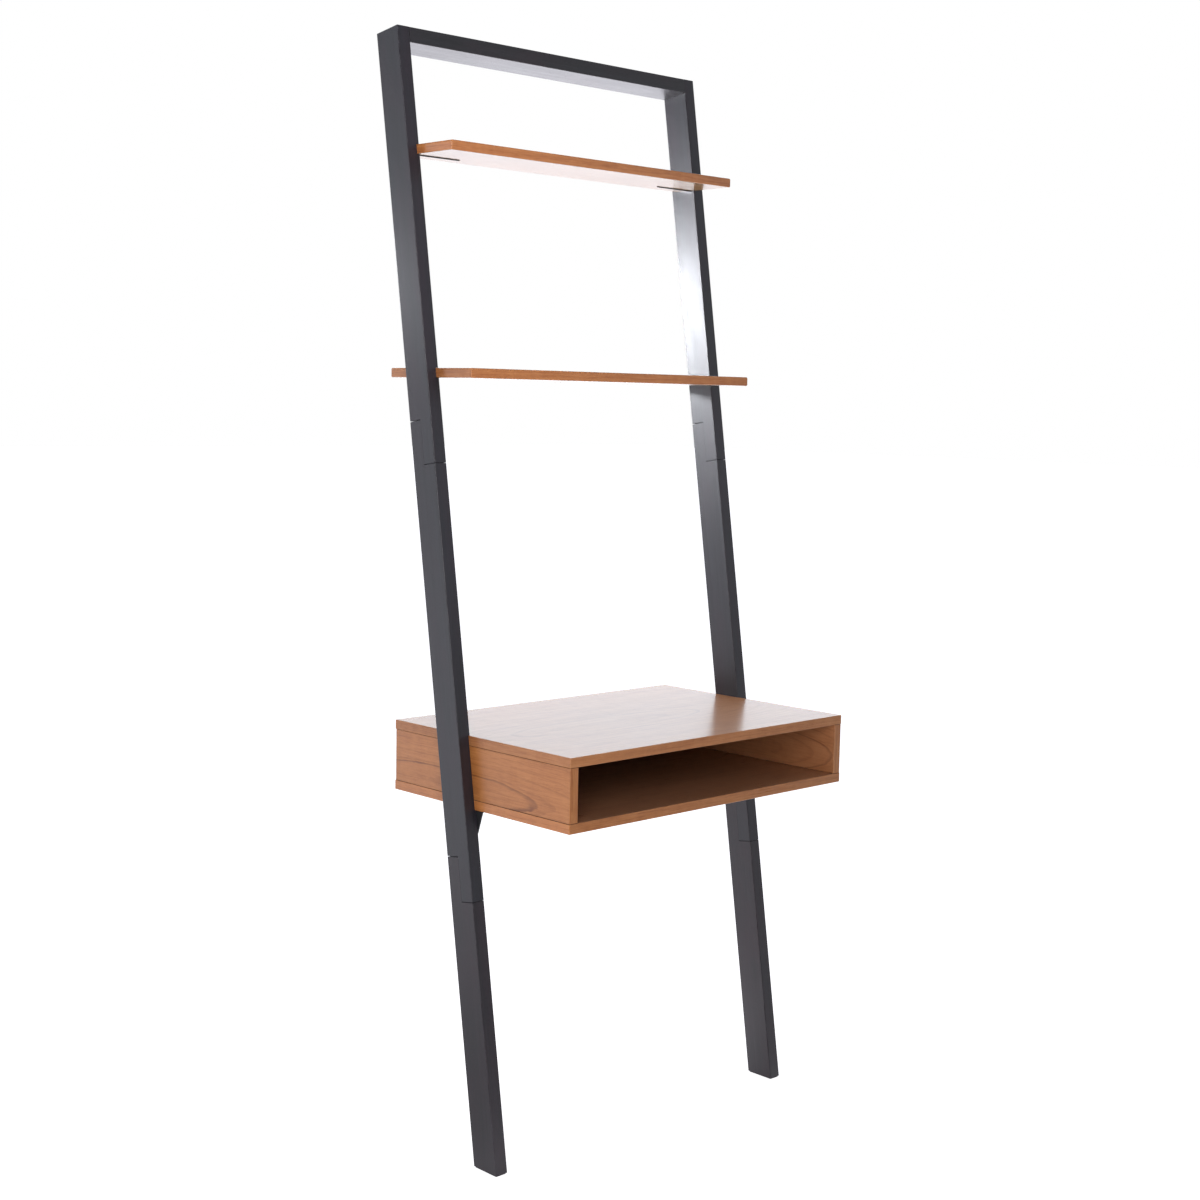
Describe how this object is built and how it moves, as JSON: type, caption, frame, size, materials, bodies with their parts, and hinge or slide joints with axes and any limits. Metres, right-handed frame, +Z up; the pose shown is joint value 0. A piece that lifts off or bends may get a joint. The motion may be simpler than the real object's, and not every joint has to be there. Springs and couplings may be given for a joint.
{
  "type": "leaning ladder desk with shelves",
  "caption": "Black ladder frame that leans on a wall, carrying narrow wood shelves and an open-fronted wood desk box at sitting height.",
  "frame": {"origin": "on the floor, at the centre of the whole object's footprint", "axes": "+Z up, +Y from the user towards the wall that the frame leans on, +X to the user's right"},
  "size_m": [0.774, 0.5297, 2.0599],
  "materials": {
    "frame_black": "black stain under satin lacquer, faint grain, edges slightly worn",
    "wood_veneer": "warm reddish-brown veneer with fine straight and cathedral grain, satin lacquer",
    "wood_back": "thin veneered board, satin lacquer",
    "black_steel": "black powder coat, semi-matt",
    "black_screws": "black zinc",
    "plated_steel": "zinc plate",
    "plated_screws": "zinc plate",
    "black_bolts": "black oxide",
    "brass_insert": "plain turned",
    "dowel_wood": "bare turned hardwood",
    "pad_rubber": "matt"
  },
  "bodies": {
    "root": {"left_stile_top": "frame_black", "left_stile_middle": "frame_black", "left_stile_bottom": "frame_black", "right_stile_top": "frame_black", "right_stile_middle": "frame_black", "right_stile_bottom": "frame_black", "top_rail": "frame_black", "upper_shelf": "wood_veneer", "middle_shelf": "wood_veneer", "desk_top_panel": "wood_veneer", "desk_bottom_panel": "wood_veneer", "desk_left_side": "wood_veneer", "desk_right_side": "wood_veneer", "desk_back_panel": "wood_back", "desk_bracket_left": "black_steel", "desk_bracket_right": "black_steel", "desk_bracket_screws": "black_screws", "upper_shelf_support_left": "black_steel", "upper_shelf_support_right": "black_steel", "middle_shelf_support_left": "black_steel", "middle_shelf_support_right": "black_steel", "shelf_support_screws": "plated_screws", "lap_bolts": "black_bolts", "lap_inserts": "brass_insert", "rail_dowels": "dowel_wood", "desk_dowels": "dowel_wood", "wall_hanger_plate_left": "plated_steel", "wall_hanger_plate_right": "plated_steel", "wall_hanger_screws": "plated_screws", "left_foot_pad": "pad_rubber", "right_foot_pad": "pad_rubber"}
  },
  "joints": []
}
